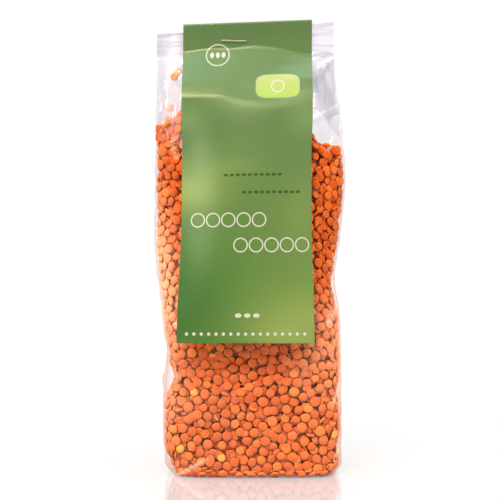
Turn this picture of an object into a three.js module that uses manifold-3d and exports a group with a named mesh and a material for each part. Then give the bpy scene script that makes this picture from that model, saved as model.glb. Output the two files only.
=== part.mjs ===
// A clear film bag of red split lentils, closed by a ribbed top seal and a folded card stapled over it.
// Millimetres, +Z up. The front faces -Y, and the origin is the middle of the flat bottom.
// The bag is one closed solid: the form that its lentils and the film round them fill.

import * as THREE from "three";
import { mergeVertices } from "three/addons/utils/BufferGeometryUtils.js";
import Module from "manifold-3d";

const wasm = await Module();
wasm.setup();

// The filled bag
const LEFT_SIDE = 41.9; // from the middle to the left side, low on the bag
const RIGHT_SIDE = 44.6;
const HALF_DEPTH = 26.5; // from the middle to the front or the back, low on the bag
const FULL_HEIGHT = 55; // above this the front and back lean towards each other
const EDGE_ROUND = 1.6; // radius of the bottom's front and back edges
const FOOT_HEIGHT = 5.4; // up to here the sides slope in to the flat bottom
const FOOT_INSET = 4.2; // and this is how far they come in
const GUSSET_FOLD = 14; // how deep the side folds tuck in under the seal
const BODY_STEP = 6;

// The pressed seal across the top
const SEAL_LOW = 203.5;
const SEAL_HEIGHT = 13;
const SEAL_HALF = 0.5; // half the thickness of the pressed layers
const RIB_PITCH = 1.9;
const RIB_RISE = 0.35;
const SEAL_TILT = THREE.MathUtils.degToRad(3);

// The folded card
const CARD_WIDTH = 63.5;
const CARD_MIDDLE = -1.8; // the card hangs a little left of the bag's middle
const CARD_LEAN = 0.9; // how much nearer the middle its top is
const CARD_THICK = 0.5;
const CARD_LOW = 64.5; // height of its lower edges
const CARD_FOLD = 218.3; // height of the fold's centre
const CARD_TILT = THREE.MathUtils.degToRad(2.2);
const CARD_BOW = 6; // how far its side edges bend back at the bag's shoulder
const CARD_OUT = 1.5; // from the middle of the seal to the middle of the card
const KINK = 205; // height of the kink just under the seal
const SHOULDER = 183.5; // height of the bend over the bag's shoulder

// Height and distance out of the card's middle surface, from its lower edge to that bend
const CARD_HANG = [
  [CARD_LOW, 37],
  [80, 33.4],
  [100, 28.8],
  [122, 24.5],
  [150, 20.2],
  [168, 16.4],
  [SHOULDER, 12.2],
];

// The staple
const WIRE = 0.7;
const STAPLE_SPAN = 12.3;
const STAPLE_AT = new THREE.Vector2(-7.5, 210.3); // x and z of the middle of its crown
const STAPLE_TILT = THREE.MathUtils.degToRad(-1.8);
const CLINCH = 4.2; // length of each bent leg end
const CLEAR = 0.3; // gap between touching pieces

const { clamp, lerp, smoothstep } = THREE.MathUtils;
const bump = (z, middle, spread) => Math.exp(-(((z - middle) / spread) ** 2));

// Half widths and half depth of the bag at height z
function leftSide(z) {
  const shoulder = 5.2 * smoothstep(z, 58, 118) - 1.4 * smoothstep(z, 125, 205);
  const foot = 1.2 * (1 - smoothstep(z, 0, 22));
  return LEFT_SIDE + shoulder - 1.5 * bump(z, 58, 9) - foot;
}

function rightSide(z) {
  const shoulder = 2.9 * bump(z, 143, 26) - 3 * smoothstep(z, 150, 203);
  return RIGHT_SIDE + shoulder - 2.4 * bump(z, 95, 14);
}

function halfDepth(z) {
  const up = clamp((z - FULL_HEIGHT) / (SEAL_LOW - FULL_HEIGHT), 0, 1);
  return lerp(HALF_DEPTH, SEAL_HALF, up ** 2.3);
}

// How far the bottom's front and back edges, and its sides, draw in at height z
function edgeInset(z) {
  const up = clamp(z / EDGE_ROUND, 0, 1);
  return EDGE_ROUND * (1 - Math.sqrt(1 - (1 - up) ** 2));
}

const footInset = (z) => FOOT_INSET * (1 - clamp(z / FOOT_HEIGHT, 0, 1)) ** 1.3;

// Points round a square from -1 to 1, closer near its corners, anticlockwise from the front left
function squareRound(alongFace, alongSide) {
  const spread = (i, n) => Math.sin((Math.PI / 2) * ((2 * i) / n - 1));
  const points = [];
  for (let i = 0; i < alongFace; i++) points.push([spread(i, alongFace), -1]);
  for (let i = 0; i < alongSide; i++) points.push([1, spread(i, alongSide)]);
  for (let i = 0; i < alongFace; i++) points.push([-spread(i, alongFace), 1]);
  for (let i = 0; i < alongSide; i++) points.push([-1, -spread(i, alongSide)]);
  return points;
}

// One point of the bag's surface: (across, deep) is a point of that square, z a height
function bagPoint([across, deep], z) {
  const wide = (across < 0 ? leftSide(z) : rightSide(z)) - footInset(z);
  const thick = halfDepth(z) - edgeInset(z);

  // The full part: a rounded box whose faces are crowned more as it goes up
  const square = lerp(6, 1.9, smoothstep(z, 15, 128));
  const reach = (Math.abs(across) ** square + Math.abs(deep) ** square) ** (-1 / square);
  const full = new THREE.Vector3(across * reach * wide, deep * reach * thick, z);

  // The folded part: creased corners, with the side gussets tucked in between front and back
  const onFace = Math.abs(deep) === 1;
  const crease = thick * (0.42 - 0.14 * smoothstep(z, 160, 195));
  const tuck = GUSSET_FOLD * smoothstep(z, 160, 188) * (1 - smoothstep(z, 191, 202));
  const inward = onFace ? 0 : tuck * (1 - Math.abs(deep));
  const face = lerp(thick, crease, Math.abs(across) ** 2.4);
  const folded = new THREE.Vector3(across * (wide - inward), deep * (onFace ? face : crease), z);

  return full.lerp(folded, smoothstep(z, 128, 166));
}

// Shallow hollows in the front and back, and pleats gathered under the seal
function withHollows(point) {
  const { x, y, z } = point;
  const body = smoothstep(z, 8, 24) * (1 - smoothstep(z, 150, 175));
  const swell = Math.sin(z / 15 + x / 11) * Math.sin(x / 17 - z / 31 + Math.sign(y));
  const neck = smoothstep(z, 172, 190) * (1 - smoothstep(z, 196, SEAL_LOW));
  const pleat = Math.abs(y) > 3 ? 0.5 * neck * Math.sin(x / 3.1) : 0;
  return point.setY(y * (1 - 0.018 * body * (1 + swell)) + pleat);
}

// A closed solid from rings of points, each ring anticlockwise seen from the last one
function solidFromRings(rings) {
  const count = rings[0].length;
  const positions = rings.flat().flatMap((p) => [p.x, p.y, p.z]);
  const index = [];
  for (let level = 0; level + 1 < rings.length; level++) {
    for (let i = 0; i < count; i++) {
      const a = level * count + i;
      const b = level * count + ((i + 1) % count);
      index.push(a, b, b + count, a, b + count, a + count);
    }
  }
  for (const ring of [rings[0], rings.at(-1)]) {
    const first = ring === rings[0] ? 0 : (rings.length - 1) * count;
    const middle = new THREE.Vector3();
    for (const p of ring) middle.addScaledVector(p, 1 / count);
    const hub = positions.push(middle.x, middle.y, middle.z) / 3 - 1;
    for (let i = 0; i < count; i++) {
      const [a, b] = [first + i, first + ((i + 1) % count)];
      index.push(...(first ? [hub, a, b] : [hub, b, a]));
    }
  }
  const geometry = new THREE.BufferGeometry();
  geometry.setAttribute("position", new THREE.Float32BufferAttribute(positions, 3));
  geometry.setIndex(index);
  return geometry;
}

// Cutting the holes for the staple's legs
function manifoldOf(geometry) {
  const bare = geometry.clone();
  bare.deleteAttribute("normal");
  bare.deleteAttribute("uv");
  const merged = mergeVertices(bare, 1e-4);
  const mesh = new wasm.Mesh({
    numProp: 3,
    vertProperties: merged.attributes.position.array,
    triVerts: new Uint32Array(merged.index.array),
  });
  return new wasm.Manifold(mesh);
}

function geometryOf(manifold) {
  const { vertProperties, triVerts } = manifold.getMesh();
  const geometry = new THREE.BufferGeometry();
  geometry.setAttribute("position", new THREE.BufferAttribute(vertProperties, 3));
  geometry.setIndex(new THREE.BufferAttribute(triVerts, 1));
  return geometry;
}

const stapleLegs = [-1, 1].map((side) => ({
  x: STAPLE_AT.x + (side * STAPLE_SPAN * Math.cos(STAPLE_TILT)) / 2,
  z: STAPLE_AT.y + (side * STAPLE_SPAN * Math.sin(STAPLE_TILT)) / 2,
}));

function withStapleHoles(geometry) {
  let solid = manifoldOf(geometry);
  for (const { x, z } of stapleLegs) {
    const punch = new THREE.CylinderGeometry(WIRE / 2 + CLEAR, WIRE / 2 + CLEAR, 10, 8);
    punch.translate(x, 0, z);
    solid = solid.subtract(manifoldOf(punch));
  }
  return geometryOf(solid);
}

// The bag
function bodyHeights() {
  const heights = [0, 0.3, 0.8, EDGE_ROUND, 3.4, FOOT_HEIGHT];
  for (let z = 8; z < SEAL_LOW - 2; z += BODY_STEP) heights.push(z);
  return heights;
}

// Leans a level ring so that its right end is the higher, by a share of the seal's tilt
const leant = (point, share) => point.setZ(point.z + share * Math.tan(SEAL_TILT) * point.x);

function bagGeometry() {
  const outline = squareRound(18, 8);
  const bodyRing = (z) => {
    const share = smoothstep(z, 150, SEAL_LOW);
    return outline.map((at) => leant(withHollows(bagPoint(at, z)), share));
  };
  const ribRing = (z, wave) =>
    outline.map((at) => {
      const point = bagPoint(at, z);
      return leant(point.setY(point.y + wave), 1);
    });
  const rings = bodyHeights().map(bodyRing);
  const steps = Math.floor((2 * SEAL_HEIGHT) / RIB_PITCH);
  for (let step = 0; step <= steps; step++) {
    const atEnd = step === 0 || step === steps;
    const wave = atEnd ? 0 : RIB_RISE * (step % 2 ? 1 : -1);
    rings.push(ribRing(SEAL_LOW + (step * SEAL_HEIGHT) / steps, wave));
  }
  return withStapleHoles(solidFromRings(rings));
}

// The card: its middle line runs from the front's lower edge over the fold to the back's lower edge
function cardLine() {
  const hang = CARD_HANG.map(([z, out]) => new THREE.Vector2(-out, z));
  const front = new THREE.SplineCurve(hang).getPoints(18);
  front.push(
    new THREE.Vector2(-CARD_OUT - 5.2, (SHOULDER + KINK) / 2 + 0.6),
    new THREE.Vector2(-CARD_OUT - 0.2, KINK),
    new THREE.Vector2(-CARD_OUT, 211),
  );
  const fold = Array.from({ length: 7 }, (_, i) => {
    const turn = Math.PI * (1 - i / 6);
    return new THREE.Vector2(CARD_OUT * Math.cos(turn), CARD_FOLD + CARD_OUT * Math.sin(turn));
  });
  const back = front.map(({ x, y }) => new THREE.Vector2(-x, y)).reverse();
  return [...front, ...fold, ...back];
}

// How far the card's side edges are bent back at height z
const cardBow = (z) => CARD_BOW * (smoothstep(z, 60, 115) - smoothstep(z, 150, 186));

function cardGeometry() {
  const line = cardLine();
  const across = 6;
  const ring = (at, i) => {
    const ahead = line[Math.min(i + 1, line.length - 1)];
    const behind = line[Math.max(i - 1, 0)];
    const outward = new THREE.Vector2(behind.y - ahead.y, ahead.x - behind.x);
    outward.setLength(CARD_THICK / 2);
    const up = (at.y - CARD_LOW) / (CARD_FOLD - CARD_LOW);
    const bow = cardBow(at.y);
    const half = CARD_WIDTH / 2 - (4 * bow ** 2) / (3 * CARD_WIDTH);
    const face = (side) =>
      Array.from({ length: across + 1 }, (_, n) => {
        const share = (2 * n) / across - 1;
        const x = CARD_MIDDLE + CARD_LEAN * up + share * half;
        const y = at.x - Math.sign(at.x) * bow * share ** 2;
        const z = at.y + Math.tan(CARD_TILT) * x * smoothstep(up, 0, 1);
        return new THREE.Vector3(x, y + side * outward.x, z + side * outward.y);
      });
    return [...face(1), ...face(-1).reverse()];
  };
  return withStapleHoles(solidFromRings(line.map(ring)));
}

// The staple: its crown lies on the front, its legs go through and are bent inwards at the back
function stapleGeometry() {
  const out = CARD_OUT + CARD_THICK / 2 + CLEAR + WIRE / 2;
  const bend = 0.6;
  const middle = new THREE.Vector3(STAPLE_AT.x, 0, STAPLE_AT.y);
  const legPoints = ({ x, z }) => {
    const foot = new THREE.Vector3(x, 0, z);
    const inward = middle.clone().sub(foot).normalize();
    const place = (along, y) => foot.clone().addScaledVector(inward, along).setY(y);
    return [
      place(CLINCH, out + 0.1),
      place(CLINCH / 2, out),
      place(bend, out),
      place(bend * 0.3, out - bend * 0.3),
      place(0, out - bend),
      place(0, 0),
      place(0, bend - out),
      place(bend * 0.3, bend * 0.3 - out),
      place(bend, -out),
    ];
  };
  const [left, right] = stapleLegs.map(legPoints);
  const points = [...left, middle.clone().setY(-out), ...right.reverse()];
  const section = new THREE.Shape();
  for (let i = 0; i < 8; i++) {
    const turn = (Math.PI * (2 * i + 1)) / 8;
    section[i ? "lineTo" : "moveTo"]((WIRE / 2) * Math.cos(turn), (WIRE / 2) * Math.sin(turn));
  }
  const extrudePath = new THREE.CatmullRomCurve3(points, false, "centripetal");
  return new THREE.ExtrudeGeometry(section, { steps: 64, extrudePath, curveSegments: 1 });
}

// The object
function piece(name, geometry, colour, roughness, metalness) {
  const material = new THREE.MeshStandardMaterial({ color: colour, roughness, metalness });
  const mesh = new THREE.Mesh(geometry, material);
  mesh.name = name;
  return mesh;
}

const bagOfLentils = new THREE.Group();
bagOfLentils.add(
  piece("bag", bagGeometry(), 0xe07a48, 0.25, 0),
  piece("header_card", cardGeometry(), 0x6f9657, 0.4, 0.2),
  piece("staple", stapleGeometry(), 0xc4c2ba, 0.35, 1),
);

export default bagOfLentils;
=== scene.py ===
# %% [markdown]
# # A bag of red split lentils
# The object is a half-kilo bag from a grocer's shelf: clear film, filled with small orange-red lentils, that
# stands on its flat bottom. A long green card is folded over the sealed top and stapled there.
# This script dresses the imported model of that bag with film, lentils, a printed card and wire.
# Every length is in millimetres, in the model's own frame, and becomes metres when a mesh is made.

import bpy
import numpy as np
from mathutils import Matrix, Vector


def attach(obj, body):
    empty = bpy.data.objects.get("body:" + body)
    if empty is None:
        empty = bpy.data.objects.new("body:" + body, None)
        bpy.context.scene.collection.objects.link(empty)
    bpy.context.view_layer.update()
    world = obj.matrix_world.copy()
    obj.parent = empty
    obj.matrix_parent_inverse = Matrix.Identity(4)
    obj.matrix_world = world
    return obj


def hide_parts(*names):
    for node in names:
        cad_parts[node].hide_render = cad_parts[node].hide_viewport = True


MM = 0.001
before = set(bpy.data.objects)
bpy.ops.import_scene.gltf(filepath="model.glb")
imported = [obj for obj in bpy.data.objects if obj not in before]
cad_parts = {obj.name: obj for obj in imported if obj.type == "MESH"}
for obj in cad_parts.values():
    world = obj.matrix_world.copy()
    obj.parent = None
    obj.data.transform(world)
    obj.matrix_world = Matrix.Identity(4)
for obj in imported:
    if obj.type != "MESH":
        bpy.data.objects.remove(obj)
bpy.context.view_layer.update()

# %% [markdown]
# The camera comes first, because everything after it is judged through it. The bag was photographed straight
# on from about half a metre, with the lens at half its height. The label and the bottom edge grow towards the
# viewer, and that growth gives the distance.

# %% Camera
PICTURE_PX, FOCAL_PX = 500, 1010
SENSOR_MM = 36
CAMERA_AT = (0.25, -500.0, 107.3)


def aim(thing, target):
    """Turns a camera or a lamp so that it looks at a point, in millimetres."""
    direction = Vector(target) * MM - thing.location
    thing.rotation_euler = direction.to_track_quat("-Z", "Y").to_euler()


def in_scene(name, data):
    """A new object in the scene that holds this mesh, lens or light."""
    thing = bpy.data.objects.new(name, data)
    bpy.context.scene.collection.objects.link(thing)
    return thing


lens = bpy.data.cameras.new("camera")
lens.sensor_width = SENSOR_MM
lens.lens = SENSOR_MM * FOCAL_PX / PICTURE_PX
camera = in_scene("camera", lens)
camera.location = Vector(CAMERA_AT) * MM
aim(camera, (CAMERA_AT[0], 0, CAMERA_AT[2]))
bpy.context.scene.camera = camera
print("lens:", round(lens.lens, 1), "mm")

# %% [markdown]
# Film and card are smooth forms with small accidents on them. Three shapes of number do most of that work: an
# eased step, a bump, and a ripple that adds up a few waves of about one size in random directions. A seed
# fixes the ripple, so that every run gives the same bag.

# %% Eased steps, bumps and ripples


def smooth(x, low, high):
    """0 up to low, 1 from high, and an eased step between."""
    t = np.clip((x - low) / (high - low), 0, 1)
    return t * t * (3 - 2 * t)


def bump(x, middle, spread):
    """1 at the middle, falling off softly to both sides."""
    return np.exp(-(((x - middle) / spread) ** 2))


def ripple(points, size, seed, waves=12):
    """Smooth noise with hollows about size across, of mean 0 and spread 1."""
    dice = np.random.default_rng(seed)
    turns = dice.normal(size=(waves, 3))
    turns /= np.linalg.norm(turns, axis=1, keepdims=True)
    turns *= 2 * np.pi / size * dice.uniform(0.6, 1.4, (waves, 1))
    return np.sin(points @ turns.T + dice.uniform(0, 2 * np.pi, waves)).sum(-1) * np.sqrt(2 / waves)


def lerp(a, b, t):
    return a + (b - a) * t


# %% [markdown]
# Each soft piece here is a grid of points wrapped round a form. One helper turns such rings into a mesh,
# closes its ends, and turns its faces outwards if the rings ran the other way. Attributes can ride on the
# points, for a material to read later.

# %% From rings of points to a mesh


def add_mesh(name, points, faces, **attributes):
    """A mesh object at the origin from points in millimetres, with one value of each attribute per point."""
    points = np.asarray(points, float).reshape(-1, 3)
    mesh = bpy.data.meshes.new(name)
    mesh.from_pydata(points * MM, [], faces)
    mesh.shade_smooth()
    for key, values in attributes.items():
        values = np.asarray(values, np.float32)
        kind = "FLOAT_VECTOR" if values.shape[-1] == 3 and values.size == points.size else "FLOAT"
        layer = mesh.attributes.new(key, kind, "POINT")
        layer.data.foreach_set("vector" if kind == "FLOAT_VECTOR" else "value", values.ravel())
    return in_scene(name, mesh)


def ring_faces(levels, count):
    """Quads between rings of count points, and a fan over each end to a hub point put after the rings."""
    level, i = np.meshgrid(np.arange(levels - 1), np.arange(count), indexing="ij")
    low, high, j = level * count, (level + 1) * count, (i + 1) % count
    quads = np.stack([low + i, low + j, high + j, high + i], -1)
    hub, top = levels * count, (levels - 1) * count
    fans = [(hub, (k + 1) % count, k) for k in range(count)]
    fans += [(hub + 1, top + k, top + (k + 1) % count) for k in range(count)]
    return quads.reshape(-1, 4).tolist() + fans


def signed_volume(points, faces):
    """Volume inside a closed mesh, negative where its faces point inwards."""
    total = 0.0
    for size in (3, 4):
        corners = np.array([f for f in faces if len(f) == size], int).reshape(-1, size)
        for k in range(1, size - 1):
            a, b, c = points[corners[:, 0]], points[corners[:, k]], points[corners[:, k + 1]]
            total += np.einsum("ij,ij->i", a, np.cross(b, c)).sum() / 6
    return total


def add_rings(name, rings, **attributes):
    """A closed piece from an array of rings: levels by points by xyz."""
    levels, count, _ = rings.shape
    points = np.concatenate([rings.reshape(-1, 3), rings[:1].mean(1), rings[-1:].mean(1)])
    faces = ring_faces(levels, count)
    if signed_volume(points, faces) < 0:
        faces = [f[::-1] for f in faces]
    ends = {}
    for key, v in attributes.items():
        first, last = (v[k].mean(0).reshape(1, -1) for k in (0, -1))
        ends[key] = np.concatenate([v.reshape(levels * count, -1), first, last])
    thing = add_mesh(name, points, faces, **ends)
    print(f"{name}: {len(faces)} faces, {abs(signed_volume(points, faces)) / 1000:.0f} cm3")
    return thing


# %% [markdown]
# The bag's own form comes next. Low down it is a rounded box. Higher up its faces are crowned, then the front
# and the back lean together to the seal, and the sides fold in between them as gussets. One function gives a
# point of that form for a place on the outline and a height. The film and the heap of lentils both use it.

# %% The form of the filled bag
LEFT_SIDE, RIGHT_SIDE = 41.9, 44.6
HALF_DEPTH = 26.5
FULL_HEIGHT = 55
EDGE_ROUND = 1.6
FOOT_HEIGHT, FOOT_INSET = 5.4, 4.2
SEAL_LOW, SEAL_HEIGHT, SEAL_HALF = 203.5, 13, 0.5
SEAL_LEAN = np.tan(np.radians(3))
GUSSET_DEPTH = 25


def half_width(across, z):
    """Distance of the left or the right side from the middle, with the sags and swells of each."""
    left = LEFT_SIDE + 5.2 * smooth(z, 58, 118) - 1.4 * smooth(z, 125, 205) - 1.5 * bump(z, 58, 9)
    left = left - 1.2 * (1 - smooth(z, 0, 22))
    right = RIGHT_SIDE + 2.9 * bump(z, 143, 26) - 3 * smooth(z, 150, 203) - 2.4 * bump(z, 95, 14)
    return np.where(across < 0, left, right)


def half_depth(z):
    """Half the depth: constant low down, then falling to almost nothing at the seal."""
    return lerp(HALF_DEPTH, SEAL_HALF, np.clip((z - FULL_HEIGHT) / (SEAL_LOW - FULL_HEIGHT), 0, 1) ** 2.3)


def edge_inset(z):
    """How far the small round of the bottom edge draws the faces in."""
    return EDGE_ROUND * (1 - np.sqrt(1 - (1 - np.clip(z / EDGE_ROUND, 0, 1)) ** 2))


def foot_inset(z):
    """How far the sides draw in towards the bottom."""
    return FOOT_INSET * (1 - np.clip(z / FOOT_HEIGHT, 0, 1)) ** 1.3


def bag_form(across, deep, z, gusset):
    """Points of the bag: across and deep run round a square, and gusset is how far the sides fold in."""
    wide = half_width(across, z) - foot_inset(z)
    thick = half_depth(z) - edge_inset(z)
    square = lerp(6, 1.9, smooth(z, 15, 128))
    reach = (np.abs(across) ** square + np.abs(deep) ** square) ** (-1 / square)
    crease = thick * (0.42 - 0.14 * smooth(z, 160, 195))
    on_face = np.abs(deep) == 1
    inward = np.where(on_face, 0, gusset * (1 - np.abs(deep)))
    face = lerp(thick, crease, np.abs(across) ** 2.4)
    folded = smooth(z, 128, 166)
    x = lerp(across * reach * wide, across * (wide - inward), folded)
    y = lerp(deep * reach * thick, deep * np.where(on_face, face, crease), folded)
    return np.stack([x, y, z + 0 * x], -1)


def gusset_depth(z):
    """How far the sides are folded in between the front and the back."""
    return GUSSET_DEPTH * smooth(z, 157, 197)


def square_round(along_face, along_side):
    """Places round a square from -1 to 1, closer together near its corners."""
    face, side = (np.sin(np.pi / 2 * (2 * np.arange(n) / n - 1)) for n in (along_face, along_side))
    across = np.concatenate([face, np.ones(along_side), -face, -np.ones(along_side)])
    deep = np.concatenate([-np.ones(along_face), side, np.ones(along_face), -side])
    return across[None, :], deep[None, :]


def outward(across, deep, z):
    """The level direction that points out of the bag at each place."""
    sideways = across**5 / half_width(across, z)
    forwards = deep**5 / half_depth(z) + 0 * across
    steer = np.stack([sideways, forwards, 0 * (across + z)], -1)
    return steer / np.linalg.norm(steer, axis=-1, keepdims=True)


def hollow(points):
    """How much the front and back sink between firmer stretches of filling."""
    x, y, z = np.moveaxis(points, -1, 0)
    body = smooth(z, 8, 24) * (1 - smooth(z, 150, 175))
    return 0.018 * body * np.abs(y) * (1 + np.sin(z / 15 + x / 11) * np.sin(x / 17 - z / 31 + np.sign(y)))


low_width = LEFT_SIDE + RIGHT_SIDE
print("bag low down:", low_width, "mm wide,", 2 * HALF_DEPTH, "mm deep; seal from", SEAL_LOW, "mm up")


# %% [markdown]
# The film is the thin clear skin. It could be a cloth simulation, but the folds that the eye knows it by are
# few and sharp: the tucked gussets, pleats that run up to the seal, ridges where it creased, and a crimped
# band. They are drawn here as heights over the form, on a grid fine enough for a crease one millimetre wide.

# %% Creases
FRONT_CREASES = (
    # x and height of both ends, half width, and how far it stands out
    (42, 203, 29, 197.5, 1.7, 1.6),
    (41.5, 202.5, 30, 193, 1.5, -1.3),
    (41.5, 202, 31, 186, 1.4, 1.0),
    (42, 200, 42.5, 184, 1.1, 0.9),
    (46, 177, 29, 169, 1.8, 1.6),
    (45, 175, 34, 167, 1.4, -0.9),
    (41.5, 164, 38.5, 152, 1.5, 1.2),
    (44.5, 172, 44.8, 154, 1.1, 0.8),
    (43, 84, 34, 70, 1.3, 0.8),
    (41, 47, 39, 32, 1.1, 0.8),
    (42, 15, 38, 8, 1.2, 0.8),
    (-36, 0, -20, 10, 1.0, 0.9),
    (-45, 200, -44, 164, 1.1, 1.0),
    (-41, 202, -39, 166, 1.0, -1.0),
    (-38, 203, -35, 172, 1.2, 0.8),
    (-43, 50, -37, 34, 1.2, 0.7),
)


def crease_height(x, z, creases):
    """Sharp ridges along straight lines, fading out at their ends."""
    height = 0 * x
    for x0, z0, x1, z1, half, rise in creases:
        run = np.array([x1 - x0, z1 - z0], float)
        along = ((x - x0) * run[0] + (z - z0) * run[1]) / (run @ run)
        aside = np.abs((x - x0) * run[1] - (z - z0) * run[0]) / np.hypot(*run)
        fade = smooth(along, -0.15, 0.2) * (1 - smooth(along, 0.8, 1.15))
        height = height + rise * fade * np.clip(1 - aside / half, 0, 1)
    return height


def random_creases(count, seed):
    """Short ridges for the back, mostly in the neck and near the corners."""
    dice = np.random.default_rng(seed)
    x = dice.uniform(-44, 44, count)
    z = np.where(dice.random(count) < 0.6, dice.uniform(150, 200, count), dice.uniform(5, 150, count))
    lean = dice.normal(0, 8, count)
    rise = dice.uniform(0.5, 1.2, count) * dice.choice([-1, 1], count)
    return [(a, b, a + c, b - 18, 1.2, d) for a, b, c, d in zip(x, z, lean, rise)]


# %% Pleats and the crimped seal
RIB_PITCH, RIB_HEIGHT = 1.9, 0.35


def film_points(across, deep, z):
    """The form with everything the film does on it: hollows, pleats, creases, ribs and a wavy top."""
    points = bag_form(across, deep, z, gusset_depth(z))
    out = outward(across, deep, z)
    x, y = points[..., 0], points[..., 1]
    height = -hollow(points) * np.abs(out[..., 1])
    body = smooth(z, 2, 14) * (1 - smooth(z, 150, 170))
    height = height - 0.16 * body * np.clip(1 + ripple(points, 12, 3), 0, 3)
    neck = smooth(z, 158, 178) * (1 - smooth(z, 197, SEAL_LOW))
    pleats = ripple(points * [1, 1, 0.16], 10, 5) + 1.2 * np.abs(ripple(points * [1, 1, 0.4], 17, 7)) - 1
    height = height + 0.55 * neck * pleats
    front = crease_height(x, z, FRONT_CREASES)
    back = crease_height(x, z, random_creases(26, 4))
    soft = np.clip(half_depth(z) / 4, 0, 1)
    height = height + soft * np.where(deep < -0.4, front, np.where(deep > 0.4, back, 0))
    points = points + out * height[..., None]
    ribs = smooth(z, SEAL_LOW, SEAL_LOW + 1) * RIB_HEIGHT * np.sin((z - SEAL_LOW) * 2 * np.pi / RIB_PITCH)
    points[..., 1] += ribs
    top = smooth(z, SEAL_LOW + 8, SEAL_LOW + SEAL_HEIGHT)
    points[..., 2] += top * (0.5 * np.sin(x / 5.2) + 0.35 * ripple(points * [1, 0, 0], 7, 11))
    points[..., 2] += SEAL_LEAN * x * smooth(z, 150, SEAL_LOW)
    return points


# %% [markdown]
# Where the film lies on the lentils it looks wet and deep in colour, and where it stands off them or is folded
# it turns pale, partly with haze and partly with what it reflects. That paleness is painted here as thin white
# by place, so each point of the film carries a number for it, made of a few broad patches with uneven edges
# and some narrow folds, which are painted highlights.

# %% Haze and painted reflection on the film at each place
CLINGING = (
    # x, height, half width, half height of the patches that lie close on the lentils
    (-8, 52, 20, 10),
    (3, 40, 12, 8),
    (36, 48, 7, 6),
    (22, 30, 14, 4),
    (-28, 20, 14, 8),
    (20, 12, 16, 5),
    (38, 132, 8, 16),
    (2, 60, 18, 8),
    (-41, 146, 6, 12),
    (36, 96, 5, 8),
)
PAINTED_HIGHLIGHT_FOLDS = (
    # laid out like the creases, with how strong the painted highlight along them is
    (-35, 0.5, -20.5, 9.3, 1.0, 0.9),
    (43.5, 45, 39.3, 34.5, 1.1, 0.6),
    (43, 14, 40, 9, 1.0, 0.6),
    (44, 83, 36, 72, 2.4, 0.5),
    (-35.6, 53, -34, 46, 0.8, 0.5),
    (41.5, 202.5, 30, 197.8, 1.3, 0.5),
    (41, 163, 37.5, 154, 1.1, 0.9),
    (44.6, 171, 44.6, 158, 0.9, 0.5),
)


def haze_and_painted_reflection(points, deep):
    """How much thin white lies over each place of the film: partly haze, partly painted reflection, and
    painted highlights along folds.
    """
    x, _, z = np.moveaxis(points, -1, 0)
    uneven = ripple(points, 16, 21) * 0.35 + ripple(points, 6, 22) * 0.15
    left = smooth(-x, 24, 44) * (0.12 * bump(z, 80, 32) - 0.02 * smooth(z, 120, 140))
    right = smooth(x, 6, 40) * (0.06 * bump(z, 60, 30) - 0.028 * smooth(z, 95, 120))
    haze_and_reflection = 0.008 + 0.05 * smooth(-x, 0, 30) * bump(z, 30, 30) + left + right
    for cx, cz, wide, high in CLINGING:
        near = 1.25 - np.hypot((x - cx) / wide, (z - cz) / high) + uneven
        haze_and_reflection = haze_and_reflection * (1 - 0.85 * smooth(near, 0, 0.35))
    haze_and_reflection = haze_and_reflection * (1 + 0.5 * uneven)
    clear = smooth(z, 150, 168)
    neck = 0.02 + 0.03 * np.clip(uneven, 0, 1) + 0.22 * bump(x, -37, 5) * (0.8 + 0.4 * uneven)
    seal = 0.03 * smooth(z, SEAL_LOW - 1, SEAL_LOW + 1)
    # Painted highlights along folds on the front.
    folds = crease_height(x, z, PAINTED_HIGHLIGHT_FOLDS) * (deep < 0)
    return np.clip(lerp(haze_and_reflection, neck, clear) + folds + seal, 0, 0.9)


# %% [markdown]
# Crumpled film also takes a little light away, most of all in the neck under the seal. A second number holds
# that, and it also carries painted shade: darker folds in the neck, darker stretches at both sides of the
# card, and a darker band along the foot. A third marks film that other film shades, where it should mirror
# less.

# %% Dullness, painted shade and tucked film
PAINTED_SHADE_FOLDS = (
    # laid out like the creases, with how much painted shade the fold gets
    (41, 200, 29, 187, 3.4, 0.10),
    (38, 199, 30, 181, 2.0, 0.06),
    (46, 176, 29, 168.5, 1.7, 0.14),
    (44, 187, 45, 160, 1.6, 0.08),
    (36, 166, 34, 152, 2.6, 0.05),
    (-42.5, 201, -43.5, 160, 2.6, 0.06),
)


def dullness_and_painted_shade(points, deep):
    """How much the film darkens what shows through it: crumpled-film streaks that fan out from under the seal,
    and painted shade in folds, at the sides and along the foot.
    """
    x, _, z = np.moveaxis(points, -1, 0)
    fan = np.stack([(x - 6) / (1.2 + 0.012 * (SEAL_LOW - z)), 0 * x, z * 0.22], -1)
    streaks = np.clip(0.5 + 0.5 * ripple(fan, 8, 31) + 0.35 * ripple(fan, 3.5, 32), 0, 1.6)
    neck = smooth(z, 150, 166) * (1 - smooth(z, SEAL_LOW - 2, SEAL_LOW))
    seal = smooth(z, SEAL_LOW - 1, SEAL_LOW)
    right = smooth(x, 24, 34)
    # Painted shade in the neck's folds.
    folds = crease_height(x, z, PAINTED_SHADE_FOLDS) * (deep < 0)
    # Painted shade at both sides of the card and along the foot.
    body = 0.08 * right * bump(z, 128, 30) + 0.05 * smooth(-x, 26, 36) * bump(z, 145, 22)
    foot = 0.05 * bump(z, 0, 3.2)
    ribs = 0.03 + 0.06 * smooth(-x, 0, 20) + 0.03 * np.clip(ripple(points * [0.5, 1, 3.2], 9, 33), -0.8, 2)
    return neck * ((0.008 + 0.045 * right) * streaks + folds) + ribs * seal + body + foot


def tuckedness(across, deep, z):
    """1 where other film shades the film: on the gussets at the neck, on the seal and under the foot."""
    gusset = smooth(z, 150, 164) * (np.abs(across) == 1) * (np.abs(deep) < 0.97)
    return gusset + smooth(z, SEAL_LOW - 1, SEAL_LOW + 1) * (1 - gusset) + bump(z, 0, 1.5)


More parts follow.
